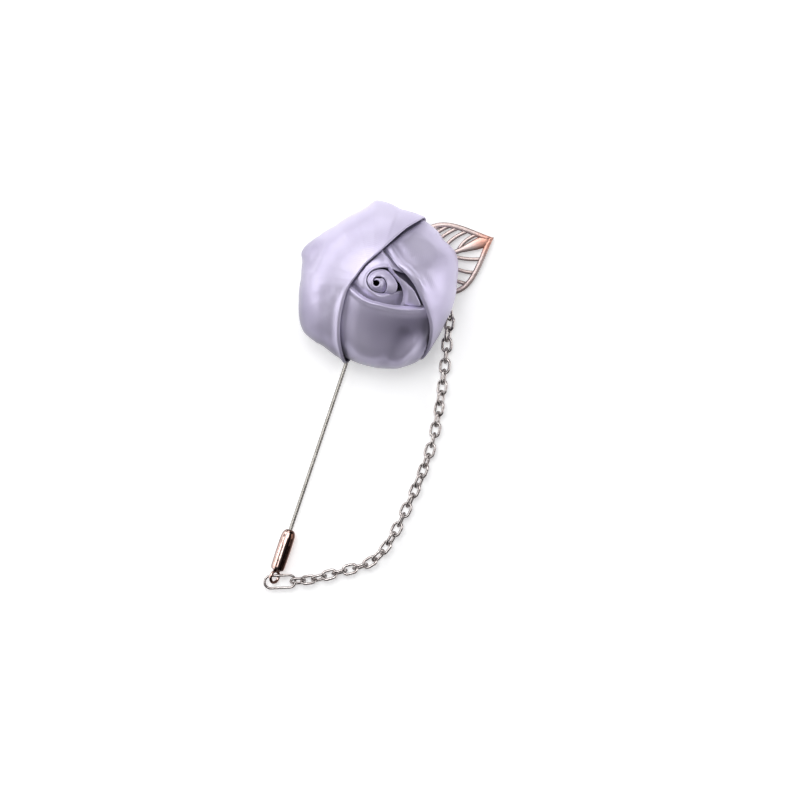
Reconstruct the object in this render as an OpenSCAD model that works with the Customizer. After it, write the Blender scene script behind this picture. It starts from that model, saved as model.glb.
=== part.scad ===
/* [Rose] */
// Mean radius of the rose at its widest level
rose_r = 22; // [19:0.5:25]
// Height of the widest level above the back
rim_z = 8.5; // [7:0.5:11]
// Rise of the dome above the widest level
dome_h = 14; // [11:0.5:16]
// Radius at which the petals end under the rose
foot_r = 10; // [8:0.5:12]
// Thickness of a folded satin petal
petal_t = 1; // [0.8:0.1:1.1]
// Gap between neighbouring petals
petal_gap = 0.25; // [0.2:0.05:0.4]
// Extra rise of the inner petals around the bud
core_rise = 1.8; // [1:0.2:2.2]
// Depth of the creases pressed into the outer petals
crease_depth = 0.9; // [0.4:0.1:1.4]

/* [Bud] */
// Sideways place of the bud's middle
bud_x = 0.9; // [0.5:0.1:1.2]
// Radius of the hole down the rolled bud
bud_hole_r = 0.8; // [0.6:0.1:1]
// Height of the bud's rim above the back
bud_top = 21.6; // [20:0.2:22]

/* [Back] */
// Radius of the felt disc that covers the back
back_r = 13; // [12:0.5:15]
// Space around the metal that is bedded in the felt
bed_gap = 0.1; // [0.1:0.05:0.2]

/* [Leaf] */
// Length of the pierced leaf, tip to base
leaf_len = 27; // [25:0.5:29]
// Half width on the side away from the chain
leaf_up = 9; // [8:0.5:10]
// Half width on the side that holds the chain
leaf_low = 10.5; // [9.5:0.5:12]
// Thickness of the leaf
leaf_t = 0.8; // [0.6:0.1:1]
// Width of the leaf's rim
leaf_rim_w = 1.3; // [1:0.1:1.4]
// Width of a side vein
vein_w = 0.95; // [0.8:0.05:1.05]
// Width of the midrib at the base
midrib_w = 1.3; // [1:0.1:1.6]
// Direction in which the leaf points
leaf_angle = 39; // [30:1:50]
// Distance of the leaf's base from the middle of the rose
leaf_start = 7.2; // [6.8:0.2:8]

/* [Stick pin] */
// Distance from the middle of the rose to the needle's point
needle_len = 77; // [60:1:90]
// Diameter of the needle
needle_d = 1; // [0.8:0.1:1.1]
// Length of the needle's sharp end
point_len = 5; // [3:0.5:7]
// Radius of the round pad that is glued behind the rose
pad_r = 6; // [4:0.5:6.5]
// Thickness of the pad
pad_t = 1.3; // [1.2:0.1:1.6]

/* [Cap] */
// Largest diameter of the cap
cap_d = 3.9; // [3.7:0.1:4.4]
// Length of the cap's body
cap_len = 11.6; // [10:0.2:14]
// Length of needle that the cap covers
cap_cover = 8; // [6:0.5:8.5]
// Play of the needle in the cap, each side
cap_play = 0.1; // [0.1:0.05:0.2]
// Diameter of the wire of the cap's eye
eye_wire = 0.8; // [0.7:0.05:0.85]
// Inside diameter of the cap's eye
eye_hole = 2.3; // [2.2:0.1:2.4]
// Tilt of the eye's hole from level
eye_tilt = 40; // [25:5:45]

/* [Rings] */
// Outside length of the long ring in the cap's eye
cap_ring_len = 8.9; // [8:0.1:10]
// Outside width of that ring
cap_ring_w = 4; // [3.8:0.1:4.2]
// Wire of that ring
cap_ring_wire = 0.7; // [0.6:0.05:0.75]
// Direction in which that ring lies
cap_ring_angle = 21; // [15:1:30]
// Outside diameter of the round ring in the leaf
leaf_ring_d = 4.3; // [4.2:0.1:4.5]
// Wire of that ring
leaf_ring_wire = 0.6; // [0.5:0.05:0.65]
// Share of the leaf's length at which that ring hangs, from the tip
leaf_ring_at = 0.67; // [0.66:0.01:0.68]

/* [Chain] */
// Number of links, an even number
link_count = 34; // [32:2:36]
// Wire of a link
link_wire = 0.75; // [0.6:0.05:0.8]
// Outside width of a link
link_w = 3.1; // [2.9:0.1:3.3]
// Play between two links
link_play = 0.14; // [0.1:0.02:0.2]
// Mean lean of the links from flat or upright
link_lean = 22; // [16:1:26]
// How much the lean varies from link to link
lean_swing = 12; // [0:1:14]

/* [Hidden] */
$fn = 48;
LINKS = [for (i = [1:link_count]) str("link_", i < 10 ? "0" : "", i)];

SATIN = [0.83, 0.80, 0.90];
SATIN_SHADE = [0.66, 0.63, 0.74];
FELT = [0.90, 0.89, 0.92];
ROSE_GOLD = [0.80, 0.60, 0.52];
STEEL = [0.74, 0.73, 0.72];

layer = petal_t + petal_gap;
// Roundness of the dome, from above and from the side
plan_power = 1.2;
rise_power = 0.9;
// Climb at which the outer petals end below, in degrees
petal_low = -75;
// The rise around the bud: its middle, and the radii where it is full and where it ends
core_at = rose_r * [0.12, 0.04];
core_in = 0.16 * rose_r;
core_out = 0.36 * rose_r;
needle_z = cap_d / 2;
metal_z = needle_z - pad_t / 2;
back_floor = metal_z - bed_gap;
back_h = metal_z + pad_t;
foot_z = back_h + bed_gap;

// Outline of the rose from the front: [angle, share of rose_r]
OUTLINE = [
    [0, 1.00], [20, 1.01], [32, 1.06], [39, 1.075], [50, 1.025], [60, 1.015],
    [70, 1.005], [88, 0.94], [107, 0.985], [113, 0.91], [120, 0.865], [142, 0.82],
    [158, 0.86], [170, 0.925], [176, 0.94], [182, 0.885], [195, 0.865], [212, 0.915],
    [228, 1.00], [234, 1.015], [249, 0.965], [260, 0.98], [270, 1.03], [284, 1.07],
    [299, 1.12], [310, 1.13], [321, 1.09], [335, 1.03], [350, 0.99], [360, 1.00]];

// Inner fold of each petal: [angle, climb up the dome in degrees, layers below the top]
PETAL_LEFT = [
    [63, -62, 0], [64.5, -48, 0], [66, -34, 0], [67.5, -20, 0], [69, -7, 0], [70.3, 6, 0],
    [72, 20, 0], [77, 36, 0], [82, 48, 0], [92, 60, 0],
    [104, 66, 0], [118, 69, 0], [145, 72, 0], [175, 73, 0], [203, 69, 0], [221, 64, 0],
    [236, 58, 0], [245, 51, 0], [253, 43, 0], [259, 34, 0], [264, 24, 0], [268, 12, 0],
    [269.5, 4, 0], [270.8, -10, 0], [272.2, -24, 0], [273.6, -38, 0], [275, -52, 0],
    [276.3, -64, 0]];
PETAL_RIGHT = [
    [-46, -62, 0], [-44.6, -48, 0], [-43.2, -34, 0], [-41.8, -20, 0], [-40.4, -7, 0],
    [-39, 3, 0], [-33, 11, 0], [-27, 19, 0], [-21, 25, 0], [-12, 35, 0], [-2, 46, 0],
    [8, 52, 0], [19, 57, 0], [34, 61, 0.2], [50, 63, 0.7], [62, 63, 1.15],
    [84, 60, 1.15], [92, 56, 1.15], [110, 40, 1.15]];
PETAL_LOWER = [
    [196, 45, 1.1], [207, 67, 1.1], [216, 70, 1.1], [228, 72, 1.1], [257, 74, 1.15],
    [280, 73, 1.15], [301, 71, 1.1], [318, 65, 1.1], [331, 58, 1.1], [343, 50, 1.1],
    [352, 41, 1.1], [360, 25, 1.1]];
PETAL_INNER_LEFT = [
    [30, 55, 2.2], [37, 63, 2.2], [49, 67, 2.2], [63, 70, 2.2], [84, 74, 2.2],
    [124, 77, 2.2], [160, 80, 2.2], [190, 82, 2.25], [237, 82.5, 2.25],
    [275, 81.5, 2.25], [296, 80.5, 2.35], [312, 78.3, 3], [325, 75.5, 3.5],
    [332, 74, 3.5], [349, 68, 3.5], [360, 63, 3.5], [366, 50, 3.5]];
PETAL_INNER_RIGHT = [
    [-32, 50, 2.3], [-27, 57, 2.3], [-15, 58, 2.3], [-4, 60, 2.3], [12, 64, 2.4],
    [20, 66, 2.9], [28, 68, 3.25], [45, 70, 3.25], [62, 71, 3.25], [76, 66, 3.25]];
// Climb at which the inner petals end below, out of sight
inner_low = 12;

// Creases of the satin, as seen from the front in shares of rose_r:
// [from x, from y, to x, to y, half width, share of crease_depth]
CREASES = [
    [-0.76, 0.20, -0.76, -0.08, 0.06, 0.9],
    [-0.45, -0.30, -0.26, -0.88, 0.09, 0.8],
    [0.76, -0.26, 0.60, -0.62, 0.07, 1.0],
    [0.60, -0.62, 0.50, -0.90, 0.07, 0.7],
    [0.86, -0.46, 0.70, -0.84, 0.06, -0.5],
    [0.46, 0.52, 0.20, 0.46, 0.10, 0.5]];

// Satin strip of the bud, wound clockwise from its start: [degrees wound,
// inner radius, outer radius, height], all in shares of the bud's hole or height
bud_start = 75;
BUD_ROLL = [
    [0, 1.00, 2.25, 0.990], [40, 1.00, 2.25, 1.000], [200, 1.00, 2.25, 1.000],
    [250, 1.05, 2.30, 0.995], [290, 1.35, 2.60, 0.990], [330, 1.85, 3.10, 0.985],
    [360, 2.45, 3.75, 0.980], [390, 2.45, 4.60, 0.975], [420, 2.45, 5.60, 0.965],
    [440, 2.45, 5.50, 0.955], [455, 2.45, 4.30, 0.930], [468, 2.45, 3.70, 0.800],
    [480, 2.45, 3.70, 0.780], [510, 2.45, 3.70, 0.780]];
bud_step = 10;

// Side veins: [place at the rim, place at the midrib], shares of leaf_len from the tip
VEINS_LOW = [
    [0.18, 0.49], [0.29, 0.61], [0.40, 0.70], [0.52, 0.78], [0.65, 0.86], [0.79, 0.93]];
VEINS_UP = [
    [0.20, 0.40], [0.30, 0.53], [0.40, 0.64], [0.51, 0.73], [0.63, 0.81], [0.77, 0.90]];
// Shares of the length between which the leaf is pierced
leaf_open = [0.14, 0.96];
// Half width of the midrib: [share of the length, share of midrib_w]
MIDRIB = [[0.12, 1.0], [0.36, 0.5], [1, 0.5]];

// Chain from the cap's ring to the leaf: [x, y, height above its lying height]
CHAIN_ROUTE = [
    [9, -80, 0], [12, -78.1, 0], [15.2, -75.9, 0], [19.1, -73.4, 0], [22.7, -70.6, 0],
    [25.2, -66, 0], [26.6, -60, 0], [27.4, -53.5, 0], [28.1, -46.5, 0], [28.4, -40, 0],
    [28.2, -34, 0], [27.6, -29, 0], [26.7, -23.5, 0], [25.6, -18, 0], [24.4, -12, 0],
    [23.2, -7.5, 0], [22.6, -4.2, 0], [22, -1.5, 0.1]];

function wrapped(a) = a - 360 * floor(a / 360);
function rose_radius(a) = rose_r * lookup(wrapped(a), OUTLINE);
function bell(x) = abs(x) >= 1 ? 0 : pow(1 - x * x, 2);

// Depth of the creases at a point seen from the front
function along_line(p, a, b) = max(0, min(1, (p - a) * (b - a) / ((b - a) * (b - a))));
function line_distance(p, a, b) = norm(p - a - (b - a) * along_line(p, a, b));
function crease(p) = [for (c = CREASES) crease_depth * c[5]
    * bell(line_distance(p / rose_r, [c[0], c[1]], [c[2], c[3]]) / (2 * c[4]))]
    * [for (c = CREASES) 1];

// Point on the shell that lies a given depth below the top layer
function plan_r(a, climb, depth) = climb >= 0
    ? (rose_radius(a) - depth) * pow(cos(climb), plan_power)
    : foot_r + (rose_radius(a) - depth - foot_r) * pow(cos(climb), plan_power);
function level(climb, depth) = climb >= 0
    ? rim_z + (dome_h - depth) * pow(sin(climb), rise_power)
    : rim_z - (rim_z - foot_z - depth) * pow(sin(-climb), rise_power);
function eased(t) = let (u = max(0, min(1, t))) u * u * (3 - 2 * u);
function core_lift(p, depth) = core_rise * eased(depth / (2 * layer))
    * eased((core_out - norm(p - core_at)) / (core_out - core_in));
function shell_point(a, climb, depth) =
    let (way = [cos(a), sin(a)], dent = crease(plan_r(a, climb, 0) * way),
        p = plan_r(a, climb, depth + dent) * way)
    [p[0], p[1], level(climb, depth + dent) + core_lift(p, depth)];

// Angles at which a petal is drawn: its own rows, the outline's and an even series,
// in degrees
station_step = 7;
station_apart = 1;
function sorted(v) = len(v) < 2 ? v : let (p = v[0])
    concat(sorted([for (x = v) if (x < p) x]), [p], sorted([for (x = v) if (x > p) x]));
function added(taken, v) = concat(taken, [for (x = v)
    if (x > min(taken) && x < max(taken)
        && min([for (t = taken) abs(x - t)]) > station_apart) x]);
function stations(table) =
    let (rows = [for (row = table) row[0]],
        corners = [for (turn = [-1:1], row = OUTLINE) row[0] + 360 * turn],
        series = [for (a = [min(rows):station_step:max(rows)]) a])
    sorted(added(added(rows, corners), series));
function column(table, c) = [for (row = table) [row[0], row[c]]];

// A tube through closed rings of points, with both ends closed. Each four-sided
// patch is split along its shorter diagonal.
function split(p, a, b, c, d) = norm(p[a] - p[c]) <= norm(p[b] - p[d])
    ? [[a, b, c], [a, c, d]] : [[a, b, d], [b, c, d]];
function side_faces(p, count, n) = [for (i = [0:count - 2], j = [0:n - 1])
    let (k = (j + 1) % n, here = i * n, next = here + n)
    each split(p, here + j, here + k, next + k, next + j)];
function start_face(p, n) = [for (j = [0:n / 2 - 2])
    each split(p, j, n - 1 - j, n - 2 - j, j + 1)];
function end_face(p, first, n) = [for (j = [0:n / 2 - 2])
    each split(p, first + j + 1, first + n - 2 - j, first + n - 1 - j, first + j)];
module ringed_solid(rings) {
    n = len(rings[0]);
    count = len(rings);
    points = [for (ring = rings) each ring];
    polyhedron(points, concat(side_faces(points, count, n), start_face(points, n),
        end_face(points, (count - 1) * n, n)), convexity = 10);
}

// A petal: a curved wall that follows the dome from its lower end to its fold
function petal_ring(a, low, high, depth, steps) = concat(
    [for (i = [0:steps]) shell_point(a, low + (high - low) * i / steps, depth)],
    [for (i = [steps:-1:0])
        shell_point(a, low + (high - low) * i / steps, depth + petal_t)]);
module petal(table, low, steps) {
    folds = column(table, 1);
    layers = column(table, 2);
    ringed_solid([for (a = stations(table))
        petal_ring(a, low, lookup(a, folds), layer * lookup(a, layers), steps)]);
}

module petal_left() {
    color(SATIN) petal(PETAL_LEFT, petal_low, 11);
}

module petal_right() {
    color(SATIN) petal(PETAL_RIGHT, petal_low, 11);
}

module petal_lower() {
    color(SATIN_SHADE) petal(PETAL_LOWER, petal_low, 11);
}

module petal_inner_left() {
    color(SATIN) petal(PETAL_INNER_LEFT, inner_low, 8);
}

module petal_inner_right() {
    color(SATIN) petal(PETAL_INNER_RIGHT, inner_low, 8);
}

// The bud: one strip wound into a roll that stands on the pad
function bud_ring(wound) =
    let (a = bud_start - wound,
        inner = bud_hole_r * lookup(wound, column(BUD_ROLL, 1)),
        outer = bud_hole_r * lookup(wound, column(BUD_ROLL, 2)),
        top = bud_top * lookup(wound, column(BUD_ROLL, 3)),
        way = [cos(a), sin(a), 0], place = [bud_x, 0, 0])
    [place + inner * way + [0, 0, foot_z], place + inner * way + [0, 0, top],
        place + outer * way + [0, 0, top], place + outer * way + [0, 0, foot_z]];
module bud_roll() {
    bud_end = BUD_ROLL[len(BUD_ROLL) - 1][0];
    color(SATIN) ringed_solid([for (w = [0:bud_step:bud_end]) bud_ring(w)]);
}

// Half width of the leaf at a share of its length, 0 at the tip
function leaf_half(x, half) = half * pow(sin(180 * pow(x, 1.05)), 1.1);
module leaf_outline(gap) {
    steps = 18;
    function along(x) = gap - x * (leaf_len + 2 * gap);
    polygon(concat(
        [for (i = [0:steps]) let (x = i / steps) [along(x), leaf_half(x, leaf_up) + gap]],
        [for (i = [steps:-1:0]) let (x = i / steps)
            [along(x), -leaf_half(x, leaf_low) - gap]]));
}

// A side vein curves from the midrib to the rim; this gives one of its two edges
function bend(a, b, c, t) = (1 - t) * (1 - t) * a + 2 * t * (1 - t) * b + t * t * c;
function bend_way(a, b, c, t) = (1 - t) * (b - a) + t * (c - b);
function vein_edge(row, half, side) =
    let (steps = 6, a = [-row[1] * leaf_len, 0],
        c = [-row[0] * leaf_len, leaf_half(row[0], half)],
        b = [a[0] + 0.55 * (c[0] - a[0]), 0.82 * c[1]])
    [for (i = [0:steps]) let (t = i / steps, w = bend_way(a, b, c, t))
        bend(a, b, c, t) + side * vein_w / 2 * [-w[1], w[0]] / norm(w)];
function cross_line(x, half) = [[-x * leaf_len, 0], [-x * leaf_len, half]];

// The open strip between the midrib and the rim, on one side
least_gap = 0.1;
module leaf_strip(half) {
    steps = 14;
    shares = [for (i = [0:steps]) leaf_open[0] + (leaf_open[1] - leaf_open[0]) * i / steps];
    polygon(concat(
        [for (x = shares) [-x * leaf_len, midrib_w * lookup(x, MIDRIB)]],
        [for (i = [steps:-1:0]) let (x = shares[i]) [-x * leaf_len,
            max(midrib_w * lookup(x, MIDRIB) + least_gap, leaf_half(x, half) - leaf_rim_w)]]));
}

// The gaps between the veins of one side, from the tip to the base
module leaf_gaps(veins, half) {
    last_vein = len(veins) - 1;
    for (k = [-1:last_vein]) {
        ahead = k < 0 ? cross_line(leaf_open[0], half) : vein_edge(veins[k], half, 1);
        behind = k == last_vein ? cross_line(leaf_open[1], half)
            : vein_edge(veins[k + 1], half, -1);
        intersection() {
            leaf_strip(half);
            polygon(concat(ahead,
                [for (i = [len(behind) - 1:-1:0]) behind[i]]));
        }
    }
}

module leaf_pattern() {
    difference() {
        leaf_outline(0);
        leaf_gaps(VEINS_UP, leaf_up);
        mirror([0, 1]) leaf_gaps(VEINS_LOW, leaf_low);
    }
}

module at_leaf() {
    rotate([0, 0, leaf_angle]) translate([leaf_start + leaf_len, 0, 0]) children();
}

module leaf() {
    color(ROSE_GOLD) translate([0, 0, metal_z]) at_leaf()
        linear_extrude(leaf_t) leaf_pattern();
}

// The felt on the back, with a bed for the pad, the needle and the leaf
module back_disc() {
    bed_h = back_h - back_floor + 1;
    color(FELT) difference() {
        cylinder(r = back_r, h = back_h);
        translate([0, 0, back_floor]) {
            cylinder(r = pad_r + bed_gap, h = bed_h);
            translate([-needle_d / 2 - bed_gap, -back_r - 1, 0])
                cube([needle_d + 2 * bed_gap, back_r + 1, bed_h]);
            at_leaf() linear_extrude(bed_h) leaf_outline(bed_gap);
        }
    }
}

// The needle and its pad are one piece of metal
module stick_pin() {
    color(STEEL) union() {
        translate([0, 0, metal_z]) cylinder(r = pad_r, h = pad_t);
        translate([0, 0, needle_z]) rotate([90, 0, 0]) {
            cylinder(d = needle_d, h = needle_len - point_len);
            translate([0, 0, needle_len - point_len])
                cylinder(d1 = needle_d, d2 = 0.2 * needle_d, h = point_len);
        }
    }
}

// The cap: a domed barrel with a blind bore, a neck and an eye
cap_y = cap_cover - needle_len;
eye_r = (eye_hole + eye_wire) / 2;
eye_y = cap_y - cap_len - eye_r;
cap_bore_r = needle_d / 2 + cap_play;
// Barrel of the cap: [share of the length from the mouth, share of the radius]
BARREL = [
    [0.19, 0.97], [0.36, 1.00], [0.72, 0.98], [0.90, 0.95], [0.955, 0.85], [0.98, 0.55],
    [1.00, 0.42]];
module cap_body() {
    r = cap_d / 2;
    dome_l = BARREL[0][0] * cap_len;
    dome_r = BARREL[0][1] * r;
    dome_steps = 5;
    rotate([90, 0, 0]) rotate_extrude() polygon(concat([[0, 0]],
        [for (i = [0:dome_steps]) let (t = 90 * i / dome_steps)
            [cap_bore_r + (dome_r - cap_bore_r) * sin(t), dome_l * (1 - cos(t))]],
        [for (i = [1:len(BARREL) - 1]) [BARREL[i][1] * r, BARREL[i][0] * cap_len]],
        [[0, cap_len]]));
}

module pin_cap() {
    bore_l = cap_cover + 4 * cap_play;
    color(ROSE_GOLD) translate([0, cap_y, needle_z]) difference() {
        union() {
            cap_body();
            translate([0, eye_y - cap_y, 0]) rotate([0, 90 - eye_tilt, 0])
                rotate_extrude() translate([eye_r, 0]) circle(d = eye_wire);
        }
        translate([0, 1, 0]) rotate([90, 0, 0]) cylinder(r = cap_bore_r, h = bore_l + 1);
    }
}

// A flat link with round ends, its length along X
module wire_link(length, width, wire) {
    bend_r = (width - wire) / 2;
    half = (length - width) / 2;
    for (side = [-1, 1]) {
        translate([side * half, 0, 0]) rotate([0, 0, -90 * side])
            rotate_extrude(angle = 180) translate([bend_r, 0]) circle(d = wire);
        translate([-half, side * bend_r, 0]) rotate([0, 90, 0])
            cylinder(d = wire, h = 2 * half);
    }
}

// The long ring lies flat, with its upper side through the cap's eye
floor_gap = 0.02;
chain_z = (link_w - link_wire) / 2 * cos(link_lean - lean_swing) + link_wire / 2
    + floor_gap;
cap_ring_z = (needle_z + chain_z) / 2 + 0.1;
ring_way = [cos(cap_ring_angle), sin(cap_ring_angle), 0];
ring_side = [-sin(cap_ring_angle), cos(cap_ring_angle), 0];
cap_ring_bend = (cap_ring_w - cap_ring_wire) / 2;
eye_from_bend = 1.2;
ring_rise = 0.3;
eye_along = cap_ring_len / 2 - cap_ring_w / 2 - eye_from_bend;
cap_ring_at = [0, eye_y + ring_rise, cap_ring_z] + eye_along * ring_way
    - cap_ring_bend * ring_side;
module cap_ring() {
    color(ROSE_GOLD) translate(cap_ring_at) rotate([0, 0, cap_ring_angle])
        wire_link(cap_ring_len, cap_ring_w, cap_ring_wire);
}

// The round ring stands upright around the leaf's rim, just clear of the back's level
ring_off_floor = 0.03;
leaf_ring_lift = leaf_ring_d / 2 - metal_z - leaf_t / 2 + ring_off_floor;
leaf_ring_inside = 0.4;
leaf_ring_r = (leaf_ring_d - leaf_ring_wire) / 2;
leaf_ring_z = metal_z + leaf_t / 2 + leaf_ring_lift;
hang_low = [-leaf_ring_at * leaf_len + leaf_start + leaf_len,
    leaf_rim_w / 2 - leaf_half(leaf_ring_at, leaf_low)];
leaf_ring_way = [sin(leaf_angle), -cos(leaf_angle), 0];
hang_at = [hang_low[0] * cos(leaf_angle) - hang_low[1] * sin(leaf_angle),
    hang_low[0] * sin(leaf_angle) + hang_low[1] * cos(leaf_angle), leaf_ring_z];
leaf_ring_out = leaf_ring_r - leaf_rim_w / 2 - leaf_ring_wire / 2 - leaf_ring_inside;
leaf_ring_mid = hang_at + leaf_ring_out * leaf_ring_way;
module leaf_ring() {
    color(ROSE_GOLD) translate(leaf_ring_mid) rotate([0, 0, leaf_angle]) rotate([0, 90, 0])
        rotate_extrude() translate([leaf_ring_r, 0]) circle(d = leaf_ring_wire);
}

// The chain follows a smooth curve through its points, in equal steps
last_link_drop = 0.3;
route_start = cap_ring_at + (cap_ring_len / 2 - cap_ring_wire
    - (link_wire + link_play) / 2) * ring_way;
route_end = leaf_ring_mid + (leaf_ring_r - (leaf_ring_wire + link_wire) / 4
    - link_play) * leaf_ring_way - [0, 0, last_link_drop];
route = concat([route_start], [for (p = CHAIN_ROUTE) [p[0], p[1], chain_z + p[2]]],
    [route_end]);
curve_steps = 12;
last = len(route) - 1;
function knot(i) = i < 0 ? 2 * route[0] - route[1]
    : i > last ? 2 * route[last] - route[last - 1] : route[i];
function smooth(a, b, c, d, t) = b + t / 2 * (c - a
    + t * (2 * a - 5 * b + 4 * c - d + t * (3 * (b - c) + d - a)));
curve = concat([for (i = [0:last - 1], k = [0:curve_steps - 1])
    smooth(knot(i - 1), knot(i), knot(i + 1), knot(i + 2), k / curve_steps)], [route_end]);
function running(i, sum) = i >= len(curve) - 1 ? [sum]
    : concat([sum], running(i + 1, sum + norm(curve[i + 1] - curve[i])));
lengths = running(0, 0);
function curve_at(s) = [for (c = [0:2])
    lookup(s, [for (i = [0:len(curve) - 1]) [lengths[i], curve[i][c]]])];
pitch = lengths[len(lengths) - 1] / link_count;
link_len = ceil(100 * (pitch + 2 * link_wire + link_play)) / 100;

module chain_link(i) {
    from = curve_at((i - 1) * pitch);
    way = curve_at(i * pitch) - from;
    lean = link_lean + lean_swing * sin(47 * i);
    color(ROSE_GOLD) translate(from + way / 2)
        rotate([0, -asin(way[2] / norm(way)), atan2(way[1], way[0])])
        rotate([i % 2 == 1 ? 90 - lean : -lean, 0, 0]) wire_link(link_len, link_w, link_wire);
}

petal_left();
petal_right();
petal_lower();
petal_inner_left();
petal_inner_right();
bud_roll();
back_disc();
leaf();
leaf_ring();
stick_pin();
pin_cap();
cap_ring();
for (i = [1:link_count]) chain_link(i);
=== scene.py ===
"""Looks of the flower lapel pin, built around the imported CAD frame."""
import math

import bmesh
import bpy
import numpy as np
from mathutils import Matrix, Vector
from mathutils.kdtree import KDTree


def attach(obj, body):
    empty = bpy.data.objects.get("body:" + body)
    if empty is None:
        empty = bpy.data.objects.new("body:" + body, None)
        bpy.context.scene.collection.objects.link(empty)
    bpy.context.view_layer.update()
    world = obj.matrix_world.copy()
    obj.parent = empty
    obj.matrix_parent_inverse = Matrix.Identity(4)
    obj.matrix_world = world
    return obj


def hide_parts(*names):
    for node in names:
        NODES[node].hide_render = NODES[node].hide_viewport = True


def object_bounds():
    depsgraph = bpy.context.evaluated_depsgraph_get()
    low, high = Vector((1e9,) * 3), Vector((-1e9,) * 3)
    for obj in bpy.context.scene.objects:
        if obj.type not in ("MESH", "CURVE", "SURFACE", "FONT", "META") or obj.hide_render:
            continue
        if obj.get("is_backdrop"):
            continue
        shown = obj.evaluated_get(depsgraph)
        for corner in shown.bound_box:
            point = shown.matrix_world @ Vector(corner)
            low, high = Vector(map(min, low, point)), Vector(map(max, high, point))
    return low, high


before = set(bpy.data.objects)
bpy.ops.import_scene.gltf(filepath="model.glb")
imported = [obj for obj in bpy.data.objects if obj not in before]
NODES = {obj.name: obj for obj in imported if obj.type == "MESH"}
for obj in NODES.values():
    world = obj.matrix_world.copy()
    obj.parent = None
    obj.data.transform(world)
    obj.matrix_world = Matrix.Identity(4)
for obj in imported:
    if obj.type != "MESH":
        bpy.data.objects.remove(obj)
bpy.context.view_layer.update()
MM = 0.001

# Sizes of the CAD source, in millimetres, and its shell around the rose's middle
ROSE_R, RIM_Z, DOME_H, FOOT_R = 22.0, 8.5, 14.0, 10.0
PETAL_T, PETAL_GAP = 1.0, 0.25
LAYER = PETAL_T + PETAL_GAP
PLAN_POWER, RISE_POWER = 1.2, 0.9
FOOT_Z = 2.7
PETAL_LOW = -75.0
INNER_LOW = 12.0
CORE_RISE = 1.8
CORE_AT = (2.64, 0.88)
CORE_IN, CORE_OUT = 3.52, 7.92

# [angle, share of ROSE_R]
OUTLINE = [
    (0, 1.00), (20, 1.01), (32, 1.06), (39, 1.075), (50, 1.025), (60, 1.015),
    (70, 1.005), (88, 0.94), (107, 0.985), (113, 0.91), (120, 0.865), (142, 0.82),
    (158, 0.86), (170, 0.925), (176, 0.94), (182, 0.885), (195, 0.865), (212, 0.915),
    (228, 1.00), (234, 1.015), (249, 0.965), (260, 0.98), (270, 1.03), (284, 1.07),
    (299, 1.12), (310, 1.13), (321, 1.09), (335, 1.03), (350, 0.99)]

# Inner fold of each petal: [angle, climb up the dome in degrees, layers below the top]
PETAL_LEFT = [
    (63, -62, 0), (64.5, -48, 0), (66, -34, 0), (67.5, -20, 0), (69, -7, 0),
    (70.3, 6, 0), (72, 20, 0), (77, 36, 0), (82, 48, 0), (92, 60, 0), (104, 66, 0),
    (118, 69, 0), (145, 72, 0), (175, 73, 0), (203, 69, 0), (221, 64, 0), (236, 58, 0),
    (245, 51, 0), (253, 43, 0), (259, 34, 0), (264, 24, 0), (268, 12, 0), (269.5, 4, 0),
    (270.8, -10, 0), (272.2, -24, 0), (273.6, -38, 0), (275, -52, 0), (276.3, -64, 0)]
PETAL_RIGHT = [
    (-46, -62, 0), (-44.6, -48, 0), (-43.2, -34, 0), (-41.8, -20, 0), (-40.4, -7, 0),
    (-39, 3, 0), (-33, 11, 0), (-27, 19.4, 0), (-21, 28, 0), (-12, 39.2, 0),
    (-2, 48.6, 0), (8, 54, 0), (19, 58.3, 0), (34, 62.8, 0.2), (50, 64.8, 0.7),
    (62, 63.8, 1.15), (84, 60, 1.15), (92, 56, 1.15), (110, 40, 1.15)]
PETAL_LOWER = [
    (188, 54, 1.1), (197, 61, 1.1), (207, 67, 1.1), (216, 70, 1.1), (228, 72, 1.1),
    (257, 74, 1.15), (280, 73.6, 1.15), (301, 72.9, 1.1), (318, 68.8, 1.1),
    (331, 63.8, 1.1), (343, 55.4, 1.1), (352, 46, 1.1), (360, 32, 1.1)]
PETAL_INNER_LEFT = [
    (30, 55, 2.2), (37, 63, 2.2), (49, 67, 2.2), (63, 70, 2.2), (84, 74, 2.2),
    (124, 77, 2.2), (160, 80, 2.2), (190, 82, 2.25), (237, 82.5, 2.25),
    (275, 81.5, 2.25), (296, 80.5, 2.35), (312, 78.3, 3), (325, 75.5, 3.5),
    (332, 74, 3.5), (349, 68, 3.5), (360, 63, 3.5), (366, 50, 3.5)]
PETAL_INNER_RIGHT = [
    (-32, 50, 2.3), (-27, 57, 2.3), (-15, 58, 2.3), (-4, 60, 2.3), (12, 64, 2.4),
    (20, 66, 2.9), (28, 68, 3.25), (45, 70, 3.25), (62, 71, 3.25), (76, 66, 3.25)]

# Creases and soft dents of the satin, as seen from the front, in millimetres:
# [from x, from y, to x, to y, reach, depth]
CREASES = [
    (-16.3, 4.8, -16.9, -1.4, 2.0, 0.55),
    (-10.4, -6.0, -6.0, -19.4, 3.0, 0.22),
    (10.1, 11.4, 4.4, 10.1, 4.4, 0.45)]
# The lower petal's own: a valley, the ridge beside it and a short second valley
LOWER_CREASES = [
    (12.2, -11.3, 10.4, -19.5, 3.2, 0.40),
    (13.6, -18.6, 15.3, -13.2, 3.6, -0.50),
    (15.3, -13.2, 16.6, -10.8, 2.6, -0.22),
    (16.4, -13.4, 17.9, -10.4, 1.8, 0.12)]


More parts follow.
